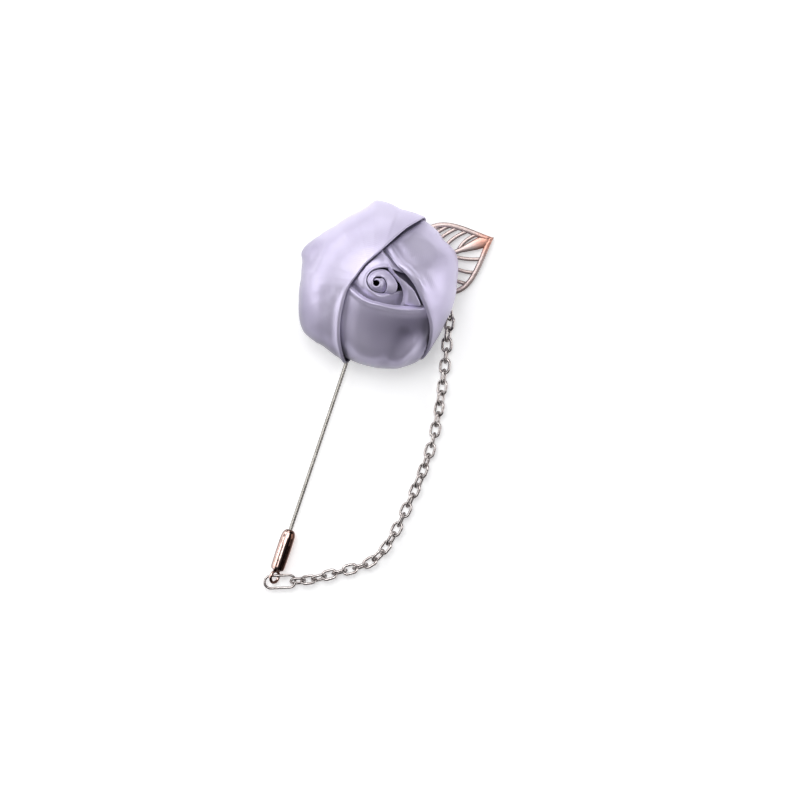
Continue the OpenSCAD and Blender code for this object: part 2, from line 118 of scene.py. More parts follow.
# Shape functions
def pchip(x, xs, ys):
    """Smooth curve through table rows without overshoot."""
    xs, ys = np.asarray(xs, float), np.asarray(ys, float)
    h = np.diff(xs)
    d = np.diff(ys) / h
    m = np.zeros(len(xs))
    m[0], m[-1] = d[0], d[-1]
    for i in range(1, len(xs) - 1):
        if d[i - 1] * d[i] > 0:
            w1, w2 = 2 * h[i] + h[i - 1], h[i] + 2 * h[i - 1]
            m[i] = (w1 + w2) / (w1 / d[i - 1] + w2 / d[i])
    x = np.clip(x, xs[0], xs[-1])
    i = np.clip(np.searchsorted(xs, x, side="right") - 1, 0, len(h) - 1)
    t = (x - xs[i]) / h[i]
    a = (2 * t**3 - 3 * t**2 + 1) * ys[i] + (t**3 - 2 * t**2 + t) * h[i] * m[i]
    b = (-2 * t**3 + 3 * t**2) * ys[i + 1] + (t**3 - t**2) * h[i] * m[i + 1]
    return a + b


def eased(t):
    u = np.clip(t, 0, 1)
    return u * u * (3 - 2 * u)


def bump(x, middle, width):
    return np.exp(-(((x - middle) / width) ** 2))


TURNS = (-360, 0, 360)
OUT_A = np.array([row[0] + turn for turn in TURNS for row in OUTLINE], float)
OUT_R = np.array([row[1] for _ in TURNS for row in OUTLINE], float)


# Weighted shifts, in degrees, that ease the outline's corners a little and a lot
CRISP = ((-1.6, 0.25), (0, 0.5), (1.6, 0.25))
ROUND = ((-32, 0.15), (-16, 0.22), (0, 0.26), (16, 0.22), (32, 0.15))


def outline_share(a, shifts):
    return sum(weight * np.interp(a + shift, OUT_A, OUT_R) for shift, weight in shifts)


def rose_radius(a, climb):
    """Crisp corners at the rim, which fade out towards the middle of the rose."""
    a = np.mod(a, 360)
    rim = outline_share(a, CRISP)
    round_rim = outline_share(a, ROUND)
    return ROSE_R * (rim + (round_rim - rim) * eased((climb - 2) / 36))


def cosd(x):
    return np.cos(np.radians(x))


def sind(x):
    return np.sin(np.radians(x))


def plan_r(a, climb, depth):
    rim = rose_radius(a, climb) - depth
    c = np.power(np.maximum(cosd(climb), 0), PLAN_POWER)
    return np.where(climb >= 0, rim * c, FOOT_R + (rim - FOOT_R) * c)


def level(climb, depth):
    s = np.power(np.abs(sind(climb)), RISE_POWER)
    return np.where(climb >= 0, RIM_Z + (DOME_H - depth) * s,
                    RIM_Z - (RIM_Z - FOOT_Z - depth) * s)


def crease(x, y, lines=CREASES):
    total = np.zeros_like(x)
    for x0, y0, x1, y1, reach, depth in lines:
        dx, dy = x1 - x0, y1 - y0
        t = np.clip(((x - x0) * dx + (y - y0) * dy) / (dx * dx + dy * dy), 0, 1)
        far = np.hypot(x - x0 - t * dx, y - y0 - t * dy) / reach
        total += depth * np.where(far < 1, (1 - far**2) ** 2, 0)
    return total


def core_lift(x, y, depth):
    near = (CORE_OUT - np.hypot(x - CORE_AT[0], y - CORE_AT[1])) / (CORE_OUT - CORE_IN)
    return CORE_RISE * eased(depth / (2 * LAYER)) * eased(near)


def shell(a, climb, depth, outward=0.0):
    """Points on the rose's shell; outward is cloth that stands proud of it."""
    r0 = plan_r(a, climb, 0.0)
    d = depth + crease(r0 * cosd(a), r0 * sind(a)) - outward
    r = plan_r(a, climb, d)
    x, y = r * cosd(a), r * sind(a)
    return np.stack([x, y, level(climb, d) + core_lift(x, y, depth)], axis=-1)


# Mesh helpers
def new_object(name, verts, faces, uvs, tone=None):
    """A smooth object from points in millimetres."""
    mesh = bpy.data.meshes.new(name)
    mesh.from_pydata([tuple(v) for v in np.asarray(verts, float) * MM], [], faces)
    layer = mesh.uv_layers.new(name="UVMap")
    index = np.zeros(len(mesh.loops), np.int32)
    mesh.loops.foreach_get("vertex_index", index)
    layer.data.foreach_set("uv", np.asarray(uvs, np.float32)[index].ravel())
    # tone is painted shade for each point, which the satin material multiplies into its
    # colour
    if tone is not None:
        mesh.attributes.new("tone", "FLOAT", "POINT").data.foreach_set(
            "value", np.asarray(tone, np.float32))
    work = bmesh.new()
    work.from_mesh(mesh)
    bmesh.ops.recalc_face_normals(work, faces=work.faces)
    work.to_mesh(mesh)
    work.free()
    mesh.polygons.foreach_set("use_smooth", [True] * len(mesh.polygons))
    mesh.update()
    obj = bpy.data.objects.new(name, mesh)
    bpy.context.scene.collection.objects.link(obj)
    return obj


def tube_faces(count, n):
    """Sides of an open tube of rings with n points each."""
    faces = []
    for i in range(count - 1):
        k = i + 1
        for j in range(n):
            m = (j + 1) % n
            faces.append((i * n + j, i * n + m, k * n + m, k * n + j))
    return faces


def cap_faces(first, n, flip):
    """Closes a flat ring with quads between its two halves."""
    faces = []
    for j in range(n // 2 - 1):
        q = (first + j, first + n - 1 - j, first + n - 2 - j, first + j + 1)
        faces.append(q[::-1] if flip else q)
    return faces


# Petals
NOSE = 0.42
CLOTH_T = 0.6
NOSE_ROWS, FACE_ROWS = 7, 58
# How fast the rows of a face spread out below its nose
ROW_SPREAD = 1.3
# A petal's columns stand at most so far apart, in millimetres and in degrees
COLUMN_MM, COLUMN_DEG = 0.42, 1.1
FOLD_POINTS, FOLD_SAMPLES, CLIMB_SAMPLES = 1200, 3000, 160


def way_along(points):
    """Running length along a line of points."""
    step = np.linalg.norm(np.diff(points, axis=0), axis=1)
    return np.concatenate([[0], np.cumsum(step)])


def tree_of(points):
    tree = KDTree(len(points))
    for i, p in enumerate(points):
        tree.insert(Vector(p), i)
    tree.balance()
    return tree


def far_from(tree, points):
    far = np.array([tree.find(Vector(p))[2] for p in points.reshape(-1, 3)])
    return far.reshape(points.shape[:2])


def fold_line(table, soften=1.1):
    """Angle, climb and depth along a petal's fold, with its corners eased."""
    ta = [r[0] for r in table]
    dense = np.linspace(ta[0], ta[-1], FOLD_SAMPLES)
    fold = pchip(dense, ta, [r[1] for r in table])
    depth = pchip(dense, ta, [r[2] * LAYER for r in table])
    line = shell(dense, fold, depth)
    walk = np.concatenate([[0], np.cumsum(np.linalg.norm(np.diff(line, axis=0), axis=1)
                                          + 1e-4)])
    even = np.linspace(0, walk[-1], FOLD_POINTS)
    reach = int(3 * soften / (even[1] - even[0]))
    kernel = np.exp(-0.5 * (np.arange(-reach, reach + 1)
                            * (even[1] - even[0]) / soften) ** 2)
    kernel /= kernel.sum()
    out = []
    for values in (dense, fold, depth):
        row = np.interp(even, walk, values)
        first = 2 * row[0] - row[reach:0:-1]
        last = 2 * row[-1] - row[-2:-reach - 2:-1]
        out.append(np.convolve(np.concatenate([first, row, last]), kernel, "valid"))
    return out


def petal_mesh(name, table, low, shape):
    """A folded strip of satin: outer face, rolled fold and inner face in one wall.

    shape(a, climb, far) gives how far the outer face stands proud, how deep both
    faces are pressed in, and the tone: painted shade that darkens the cloth in its tucks
    and where less light falls on it."""
    dense, fold, depth = fold_line(table)
    line = shell(dense, fold, depth + CLOTH_T / 2)
    step = np.linalg.norm(np.diff(line, axis=0), axis=1)
    walk = np.concatenate([[0], np.cumsum(np.maximum(step / COLUMN_MM,
                                                     np.diff(dense) / COLUMN_DEG))])
    count = int(walk[-1]) + 2
    a = np.interp(np.linspace(0, walk[-1], count), walk, dense)
    along = np.interp(a, dense, way_along(line))
    f = np.interp(a, dense, fold)
    d = np.interp(a, dense, depth)

    rows = NOSE_ROWS + FACE_ROWS
    climb = np.zeros((count, rows + 1))
    back = np.zeros((count, rows + 1))
    for i in range(count):
        c = np.linspace(low(a[i]), f[i], CLIMB_SAMPLES)
        length = way_along(shell(np.full_like(c, a[i]), c,
                                 np.full_like(c, d[i] + CLOTH_T / 2)))
        total = length[-1]
        nose = min(NOSE, total / 3)
        k = np.arange(NOSE_ROWS + 1) / NOSE_ROWS
        first = nose * (1 - np.cos(k * math.pi / 2))
        k = np.arange(1, FACE_ROWS + 1) / FACE_ROWS
        rest = nose + (total - nose) * (np.exp(ROW_SPREAD * k) - 1) \
            / (math.exp(ROW_SPREAD) - 1)
        s = np.concatenate([first, rest])
        back[i] = s
        climb[i] = np.interp(total - s, length, c)
    aa = np.repeat(a[:, None], rows + 1, axis=1)
    dd = np.repeat(d[:, None], rows + 1, axis=1)
    mid = shell(aa, climb, dd + CLOTH_T / 2)
    far = far_from(tree_of(line), mid)
    swell = np.sqrt(np.clip(1 - (1 - np.minimum(far / NOSE, 1)) ** 2, 0, 1))
    half = CLOTH_T / 2 * swell
    proud, soft, tone = shape(aa, climb, far)
    proud = proud * eased(far / NOSE)
    outer = shell(aa, climb, dd + CLOTH_T / 2 - half + soft, proud)
    inner = shell(aa, climb, dd + CLOTH_T / 2 + half + soft, proud * 0.8)
    ring = np.concatenate([outer[:, ::-1], inner[:, 1:]], axis=1)
    tone = np.concatenate([tone[:, ::-1], tone[:, 1:]], axis=1)
    n = ring.shape[1]
    if n % 2:
        ring = np.concatenate([ring, (ring[:, -1:] + ring[:, :1]) / 2], axis=1)
        tone = np.concatenate([tone, tone[:, -1:]], axis=1)
        n += 1
    v = np.concatenate([-back[:, ::-1], back[:, 1:]], axis=1)
    v = np.concatenate([v, np.zeros((count, n - v.shape[1]))], axis=1)
    uv = np.stack([np.repeat(along[:, None], n, axis=1), v], axis=-1)
    faces = tube_faces(count, n) + cap_faces(0, n, False) \
        + cap_faces((count - 1) * n, n, True)
    return new_object(name, ring.reshape(-1, 3), faces, uv.reshape(-1, 2),
                      tone=tone.ravel())


def wave(a, climb, turns, rise, phase):
    return np.sin(np.radians(turns * a + rise * climb + phase))


class Fold:
    """The fold of a petal that lies over others, to tell how far they are from it."""

    def __init__(self, table):
        self.line = fold_line(table)
        self.tree = tree_of(shell(self.line[0], self.line[1],
                                  self.line[2] + CLOTH_T / 2))

    def clear(self, a, climb, depth):
        """Distance from the fold, negative where this petal covers the place."""
        around, height = self.line[0], self.line[1]
        far = far_from(self.tree, shell(a, climb, np.full_like(a, depth)))
        a = np.where(a > around[-1], a - 360, a)
        a = np.where(a < around[0], a + 360, a)
        under = (a > around[0]) & (a < around[-1]) \
            & (climb < np.interp(a, around, height))
        return np.where(under, -far, far)


LEFT_FOLD, RIGHT_FOLD = Fold(PETAL_LEFT), Fold(PETAL_RIGHT)
LOWER_FOLD = Fold(PETAL_LOWER)


# In the shape functions every length is in millimetres and every angle in degrees.
# eased((x - low) / reach) fades a term in where x grows past low, and
# eased((high - x) / reach) fades it out where x comes near high.
def ridge(far, peak, before, after):
    """A roll beside a fold: its crest, and how wide it is on either side."""
    return np.where(far < peak, bump(far, peak, before), bump(far, peak, after))


def left_shape(a, climb, far):
    """A soft swell behind the fold, and a narrow roll along its lower half."""
    lower = eased((a - 200) / 30) * eased((274 - a) / 8)
    puff = (0.35 * bump(far, 9.5, 5.5) * eased((a - 80) / 20)
            + lower * (0.20 * bump(far, 0.6, 0.5) - 0.16 * bump(far, 2.2, 1.0)))
    # tone: painted shade, darker low on the rim at the lower left and towards the bottom
    tone = 1 \
        - 0.20 * eased((38 - climb) / 16) * eased((a - 150) / 20) * eased((240 - a) / 20) \
        - 0.36 * eased((26 - climb) / 14) * eased((a - 236) / 16)
    return puff, np.zeros_like(far), tone


def right_shape(a, climb, far):
    """A rolled edge, and a dive to where the left petal covers this one."""
    left = LEFT_FOLD.clear(a, climb, 1.4)
    clear = np.maximum(left, 0)
    shown = np.maximum(eased((64 - a) / 14), eased(left / 1.6) * eased((100 - a) / 10))
    upper = eased((a - 2) / 26)
    puff = shown * (upper * (0.60 * ridge(far, 1.45, 1.3, 0.9) - 0.15 * bump(far, 3.4, 1.2))
                    + (1 - upper) * 0.25 * ridge(far, 0.6, 0.5, 2.0))
    puff = puff + 0.6 * eased((a - 48) / 10) * eased((24 - climb) / 20) * eased(far / 2)
    dive = 1.0 * np.clip(1 - clear / 2.6, 0, 1) ** 2 * eased((a - 50) / 12) \
        * eased((96 - a) / 8) * eased((climb + 4) / 24)
    # tone: painted shadow beside the left petal's fold, and painted shade low on the rim
    # and in a band behind the roll
    tone = 1 - 0.50 * bump(clear, 0.0, 2.4) * eased((a - 40) / 10) \
        - 0.38 * eased((34 - climb) / 22) * eased((4 - a) / 18) \
        - 0.11 * bump(far, 5.2, 3.4) * eased((a - 26) / 14)
    return puff, dive + 0.05 * wave(a, climb, 4, 3, 80) * eased(far / 6) \
        * eased((60 - a) / 10), tone


def lower_shape(a, climb, far):
    """A high roll with the satin pulled tight below it."""
    clear = LEFT_FOLD.clear(a, climb, 1.4)
    right = RIGHT_FOLD.clear(a, climb, 1.4)
    free = eased(clear / 1.8) * eased(right / 2.6)
    puff = free * (0.48 * ridge(far, 0.7, 0.55, 0.8) - 0.40 * bump(far, 7.0, 4.0))
    beside = 0.9 * eased(clear / 5.0) * eased((climb - 5) / 25)
    tucked = (0.35 + 0.92 * eased((right + 0.3) / 1.0)) * eased(1 - np.abs(right) / 5.0) \
        * eased((22 - climb) / 14)
    r0 = plan_r(a, climb, 0.0)
    x, y = r0 * cosd(a), r0 * sind(a)
    folds = crease(x, y, LOWER_CREASES) * eased((right + 0.4) / 1.2)
    # the deep shade below the fold, level with the photo's own axes
    x, y = x - 14.8, y + 8.0
    across = (x * 0.948 + y * 0.318) / 12.0
    upward = (y * 0.948 - x * 0.318) / 5.6
    tone = 1 - 0.54 * np.exp(-across ** 2 - upward ** 2) * eased((far - 1.2) / 2.4)
    # painted shade in the creases and beside the right petal's fold
    beside_right = bump(right, 0.0, 2.3) * eased((climb - 8) / 10) \
        * eased((58 - climb) / 10)
    tone = np.clip(tone - 0.45 * folds - 0.42 * beside_right, 0.25, 1)
    return puff + beside + tucked - folds, \
        0.04 * wave(a, climb, 6, 2, 200) * eased(far / 5) * free, tone


def inner_left_shape(a, climb, far):
    """Beside the folds around it this petal stands almost as high as they do."""
    left = LEFT_FOLD.clear(a, climb, 1.6)
    right = RIGHT_FOLD.clear(a, climb, 1.6)
    lower = LOWER_FOLD.clear(a, climb, 1.6)
    beside_left = np.exp(-(np.maximum(left, 0) / 3.4) ** 2) * eased((left + 1.0) / 1.0) \
        * np.where(a < 118, eased(right / 1.0), 1)
    beside_right = np.exp(-(np.maximum(right, 0) / 3.0) ** 2) * eased(right / 1.0) \
        * eased((112 - a) / 12)
    near = np.maximum(beside_left, beside_right) * eased(lower / 1.8) \
        * eased((a - 30) / 14) * eased((250 - a) / 30)
    return 0.08 * bump(far, 0.7, 0.5), -1.3 * near * eased((far - 0.5) / 2.0), \
        np.ones_like(far)


def inner_right_shape(a, climb, far):
    """This petal dives away before the right petal's fold, which leaves a deep gap."""
    clear = RIGHT_FOLD.clear(a, climb, 1.6)
    lower = LOWER_FOLD.clear(a, climb, 1.6)
    width = 0.95 + 0.35 * bump(a, 34, 20)
    rim = eased((clear - width) / 0.55)
    raised = 2.6 * eased((far + 0.4) / 1.2) * eased((5.6 - clear) / 4.2) \
        * rim * eased((lower + 0.6) / 0.9)
    # tone: painted shade down the wall of the gap before the right petal's fold
    return 0.20 * bump(far, 0.7, 0.7), 1.6 * (1 - rim) - raised, 1 - 0.45 * (1 - rim)


# How far down the dome each petal reaches at an angle
def to_rim(a):
    return PETAL_LOW


def to_inner(a):
    return INNER_LOW


def to_short(a):
    """The inner left petal stops short where other petals dive under its place."""
    return INNER_LOW + (52 - INNER_LOW) * np.maximum(
        eased((a - 288) / 24), eased((a - 38) / 12) * eased((112 - a) / 12))


satin_pieces = []
for piece_name, table, low, shape in (
        ("petal_left_satin", PETAL_LEFT, to_rim, left_shape),
        ("petal_right_satin", PETAL_RIGHT, to_rim, right_shape),
        ("petal_lower_satin", PETAL_LOWER, to_rim, lower_shape),
        ("petal_inner_left_satin", PETAL_INNER_LEFT, to_short, inner_left_shape),
        ("petal_inner_right_satin", PETAL_INNER_RIGHT, to_inner, inner_right_shape)):
    obj = petal_mesh(piece_name, table, low, shape)
    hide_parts(piece_name.replace("_satin", ""))
    satin_pieces.append(obj)

# The bud
BUD_AT = (0.9, 0.0)
BUD_START = 75
# [degrees wound, inner radius, outer radius, height of the ridge, fall to the outside]
BUD_ROLL = [
    (-70, 0.80, 1.02, 21.2, 0.10), (-40, 0.80, 1.25, 21.4, 0.12),
    (0, 0.80, 1.38, 21.5, 0.15), (15, 0.80, 1.95, 21.6, 0.35),
    (50, 0.80, 2.45, 21.6, 0.90), (75, 0.80, 2.75, 21.6, 1.50),
    (100, 0.80, 3.05, 21.6, 2.10), (112, 0.80, 3.00, 21.6, 2.20),
    (135, 0.80, 2.40, 21.6, 1.80), (160, 0.80, 2.12, 21.6, 1.20),
    (200, 0.80, 2.02, 21.6, 0.60), (240, 0.82, 2.33, 21.6, 0.50),
    (260, 0.95, 2.62, 21.6, 0.60), (290, 1.22, 3.00, 21.5, 0.75),
    (310, 1.46, 3.28, 21.5, 0.80), (330, 1.62, 3.55, 21.4, 0.85),
    (345, 1.74, 3.88, 21.3, 0.85), (360, 1.96, 4.24, 21.2, 0.85),
    (375, 2.18, 4.44, 21.2, 0.80), (390, 2.38, 4.66, 21.1, 0.75),
    (410, 2.60, 5.22, 21.0, 0.45), (424, 2.78, 5.62, 21.0, 0.32),
    (436, 2.92, 5.66, 20.9, 0.30), (450, 3.10, 5.00, 20.6, 0.35),
    (460, 3.20, 4.10, 20.1, 0.50), (470, 3.25, 3.68, 19.2, 0.60)]


BUD_COLUMNS, BUD_LIP = 300, 0.30


def bud_mesh(name):
    """One strip wound outwards, with rounded lips and a rim that slopes outwards."""
    w = np.linspace(BUD_ROLL[0][0], BUD_ROLL[-1][0], BUD_COLUMNS)
    column = [np.array([row[k] for row in BUD_ROLL], float) for k in range(5)]
    inner, outer, top, fall = [pchip(w, column[0], column[k]) for k in (1, 2, 3, 4)]
    rings, uv = [], []
    for wound, r0, r1, z, drop in zip(w, inner, outer, top, fall):
        way = (cosd(BUD_START - wound), sind(BUD_START - wound))
        lip = min(BUD_LIP, (r1 - r0) / 3)
        profile = [(r0, FOOT_Z)]
        profile += [(r0, zz) for zz in np.linspace(FOOT_Z + 4, z - lip - 0.2, 9)]
        for k in range(7):
            t = math.pi / 2 * k / 6
            profile.append((r0 + lip * (1 - math.cos(t)), z - lip * (1 - math.sin(t))))
        for k in range(1, 10):
            t = k / 10
            profile.append((r0 + lip + (r1 - r0 - 2 * lip) * t,
                            z - drop * (0.35 * t + 0.65 * t * t)))
        for k in range(7):
            t = math.pi / 2 * k / 6
            profile.append((r1 - lip * (1 - math.sin(t)),
                            z - drop - lip * (1 - math.cos(t))))
        profile += [(r1, zz) for zz in np.linspace(z - drop - lip - 0.2, FOOT_Z + 4, 9)]
        profile += [(r1, FOOT_Z), ((r0 + r1) / 2, FOOT_Z)]
        s = 0.0
        last = profile[0]
        for r, zz in profile:
            s += math.hypot(r - last[0], zz - last[1])
            last = (r, zz)
            rings.append((BUD_AT[0] + way[0] * r, BUD_AT[1] + way[1] * r, zz))
            uv.append((math.radians(wound) * (r0 + r1) / 2, s))
    n = len(profile)
    assert n % 2 == 0
    faces = tube_faces(len(w), n) + cap_faces(0, n, False) \
        + cap_faces((len(w) - 1) * n, n, True)
    return new_object(name, rings, faces, uv, tone=np.ones(len(rings)))


bud = bud_mesh("bud_roll_satin")
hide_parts("bud_roll")
satin_pieces.append(bud)

# The felt back
BACK_R, BACK_H = 13.0, 2.6
BACK_ROUND, BACK_COLUMNS = 0.35, 180


def felt_mesh(name):
    """A disc of felt with soft cut edges and a slightly uneven face."""
    profile = [(0, 0)]
    edge = BACK_R - BACK_ROUND
    profile += [(r, 0.05 * (r / BACK_R) ** 6) for r in np.linspace(1, edge, 22)]
    for k in range(1, 8):
        t = math.pi * (k / 8 - 0.5)
        profile.append((edge + BACK_ROUND * math.cos(t),
                        BACK_H / 2 + (BACK_H / 2) * math.sin(t)))
    profile += [(r, BACK_H) for r in np.linspace(edge, 1, 10)]
    profile.append((0, BACK_H))
    verts, uv = [], []
    for i in range(BACK_COLUMNS):
        a = 2 * math.pi * i / BACK_COLUMNS
        for r, z in profile:
            w = 1 + 0.004 * math.sin(9 * a) + 0.003 * math.sin(23 * a + 1)
            verts.append((r * w * math.cos(a), r * w * math.sin(a), z))
            uv.append((r * math.cos(a), r * math.sin(a)))
    n = len(profile)
    faces = []
    for i in range(BACK_COLUMNS):
        k = (i + 1) % BACK_COLUMNS
        for j in range(n - 1):
            faces.append((i * n + j, k * n + j, k * n + j + 1, i * n + j + 1))
    return new_object(name, verts, faces, uv)


felt = felt_mesh("back_felt")
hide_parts("back_disc")

# The leaf
LEAF_LEN, LEAF_UP, LEAF_LOW = 27.0, 9.0, 10.5
LEAF_ANGLE, LEAF_START = 39.0, 7.2
LEAF_T, RIM_W, VEIN_W, MIDRIB_W, METAL_Z = 0.8, 1.4, 1.0, 1.3, 1.3
LEAF_OPEN = 0.14
# Side veins: (place at the rim, place at the midrib), shares of the length from the tip
VEINS_LOW = [(0.18, 0.49), (0.29, 0.61), (0.40, 0.70), (0.52, 0.78), (0.65, 0.86),
             (0.79, 0.93)]
VEINS_UP = [(0.135, 0.38), (0.205, 0.58), (0.28, 0.70), (0.35, 0.80), (0.42, 0.88),
            (0.49, 0.94)]


def leaf_half(x, half):
    """Half the leaf's width at a share of its length from the tip."""
    return half * max(sind(180 * x ** 1.05), 0) ** 1.1


def strip(left, right, height, ends=0.35):
    """A raised wire between two lines in the leaf's plane, rounded at its ends."""
    left, right = np.array(left, float), np.array(right, float)
    verts, uv = [], []
    count, arc = len(left), 10
    walk = 0.0
    for i in range(count):
        if i:
            walk += np.linalg.norm((left[i] + right[i] - left[i - 1] - right[i - 1]) / 2)
        mid, side = (left[i] + right[i]) / 2, (right[i] - left[i]) / 2
        away = min(i, count - 1 - i)
        shrink = 1.0 if away > 1 else (0.75 if away else ends)
        for k in range(arc):
            t = math.pi * k / (arc - 1)
            p = mid + side * math.cos(t) * (1 if away else shrink)
            verts.append((p[0], p[1],
                          METAL_Z + height * shrink * (0.4 + 0.6 * math.sin(t) ** 0.6)))
            uv.append((walk, t))
        verts.append((mid[0] - side[0], mid[1] - side[1], METAL_Z))
        verts.append((mid[0] + side[0], mid[1] + side[1], METAL_Z))
        uv += [(walk, 4.0), (walk, 5.0)]
    n = arc + 2
    faces = tube_faces(count, n)
    faces.append(tuple(range(n - 1, -1, -1)))
    faces.append(tuple((count - 1) * n + k for k in range(n)))
    return verts, faces, uv


def leftward(line):
    """Unit steps to the left of a line in the leaf's plane."""
    way = np.gradient(line, axis=0)
    way /= np.linalg.norm(way, axis=1)[:, None]
    return np.stack([-way[:, 1], way[:, 0]], axis=1)


def leaf_mesh(name):
    """Rim, midrib, side veins and solid tip as one piece, drawn from the tip."""
    parts = []
    span = np.linspace(0.004, 0.97, 60)
    for half, sign in ((LEAF_UP, 1), (LEAF_LOW, -1)):
        outer = np.array([(-x * LEAF_LEN, leaf_half(x, half)) for x in span])
        inner = outer + RIM_W * leftward(outer)
        inner[:, 1] = np.maximum(inner[:, 1], 0)
        flip = np.array([1, sign])
        parts.append(strip(outer * flip, inner * flip, LEAF_T))
    wide = [(0.03, 0.1), (0.07, 0.7), (0.12, 1.25), (0.20, 1.1), (0.36, 0.5), (1.0, 0.5)]
    for_mid = np.linspace(0.03, 0.97, 50)
    half_w = MIDRIB_W * np.interp(for_mid, [r[0] for r in wide], [r[1] for r in wide])
    parts.append(strip([(-x * LEAF_LEN, w) for x, w in zip(for_mid, half_w)],
                       [(-x * LEAF_LEN, -w) for x, w in zip(for_mid, half_w)], LEAF_T))
    for veins, half, sign, bend, rise in ((VEINS_UP, LEAF_UP, 1, 0.35, 1.05),
                                          (VEINS_LOW, LEAF_LOW, -1, 0.55, 0.82)):
        for rim, rib in veins:
            a = np.array([-rib * LEAF_LEN, 0.0])
            c = np.array([-rim * LEAF_LEN, leaf_half(rim, half) - RIM_W / 2])
            b = np.array([a[0] + bend * (c[0] - a[0]), rise * c[1]])
            t = np.linspace(0, 1, 18)[:, None]
            line = a * (1 - t) ** 2 + 2 * b * t * (1 - t) + c * t ** 2
            side = leftward(line) * VEIN_W / 2
            flip = np.array([1, sign])
            parts.append(strip((line + side) * flip, (line - side) * flip, LEAF_T * 0.92))
    # the solid tip, a little below its raised rim
    tip_x = np.linspace(0.004, LEAF_OPEN, 14)
    parts.append(strip([(-x * LEAF_LEN, max(leaf_half(x, LEAF_UP) - 0.3, 0.02))
                        for x in tip_x],
                       [(-x * LEAF_LEN, -max(leaf_half(x, LEAF_LOW) - 0.3, 0.02))
                        for x in tip_x], LEAF_T * 0.88, ends=0.6))
    verts, faces, uv = [], [], []
    for v, f, u in parts:
        first = len(verts)
        verts += v
        uv += u
        faces += [tuple(first + k for k in face) for face in f]
    placed = []
    for x, y, z in verts:
        x += LEAF_START + LEAF_LEN
        placed.append((x * cosd(LEAF_ANGLE) - y * sind(LEAF_ANGLE),
                       x * sind(LEAF_ANGLE) + y * cosd(LEAF_ANGLE), z))
    return new_object(name, placed, faces, uv)


leaf = leaf_mesh("leaf_filigree")
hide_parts("leaf")


# Materials
def srgb(r, g, b):
    """A colour from its 0 to 255 values on a screen."""
    out = []
    for c in (r, g, b):
        c /= 255
        out.append(c / 12.92 if c <= 0.04045 else ((c + 0.055) / 1.055) ** 2.4)
    return (*out, 1.0)


def material(name):
    mat = bpy.data.materials.new(name)
    mat.use_nodes = True
    nodes, links = mat.node_tree.nodes, mat.node_tree.links
    nodes.clear()
    out = nodes.new("ShaderNodeOutputMaterial")
    bsdf = nodes.new("ShaderNodeBsdfPrincipled")
    links.new(bsdf.outputs["BSDF"], out.inputs["Surface"])
    return mat, nodes, links, bsdf


def noise(nodes, links, source, scale, detail=3.0, rough=0.5):
    node = nodes.new("ShaderNodeTexNoise")
    node.inputs["Scale"].default_value = scale
    node.inputs["Detail"].default_value = detail
    node.inputs["Roughness"].default_value = rough
    links.new(source, node.inputs["Vector"])
    return node.outputs["Fac"]


def map_range(nodes, links, source, low, high, to_low=0.0, to_high=1.0):
    node = nodes.new("ShaderNodeMapRange")
    node.inputs["From Min"].default_value = low
    node.inputs["From Max"].default_value = high
    node.inputs["To Min"].default_value = to_low
    node.inputs["To Max"].default_value = to_high
    links.new(source, node.inputs["Value"])
    return node.outputs["Result"]


def vector_math(nodes, links, operation, source, vector):
    node = nodes.new("ShaderNodeVectorMath")
    node.operation = operation
    node.inputs[1].default_value = vector
    links.new(source, node.inputs[0])
    return node.outputs["Value"]


def mixed(nodes, links, factor, first, second, blend="MIX"):
    """Two colours mixed; each of the three may be a fixed value or a socket."""
    node = nodes.new("ShaderNodeMix")
    node.data_type = "RGBA"
    node.blend_type = blend
    for socket, value in ((node.inputs[0], factor), (node.inputs[6], first),
                          (node.inputs[7], second)):
        if isinstance(value, bpy.types.NodeSocket):
            links.new(value, socket)
        else:
            socket.default_value = value
    return node.outputs[2]


def bumped(nodes, links, source, strength, distance, over=None):
    """The normal of a height; over is a normal that it lies on."""
    node = nodes.new("ShaderNodeBump")
    node.inputs["Strength"].default_value = strength
    node.inputs["Distance"].default_value = distance
    links.new(source, node.inputs["Height"])
    if over is not None:
        links.new(over, node.inputs["Normal"])
    return node.outputs["Normal"]


def ramp(nodes, links, source, stops):
    node = nodes.new("ShaderNodeValToRGB")
    links.new(source, node.inputs["Fac"])
    elements = node.color_ramp.elements
    while len(elements) < len(stops):
        elements.new(0.5)
    for element, (at, color) in zip(elements, stops):
        element.position = at
        element.color = color
    return node.outputs["Color"]


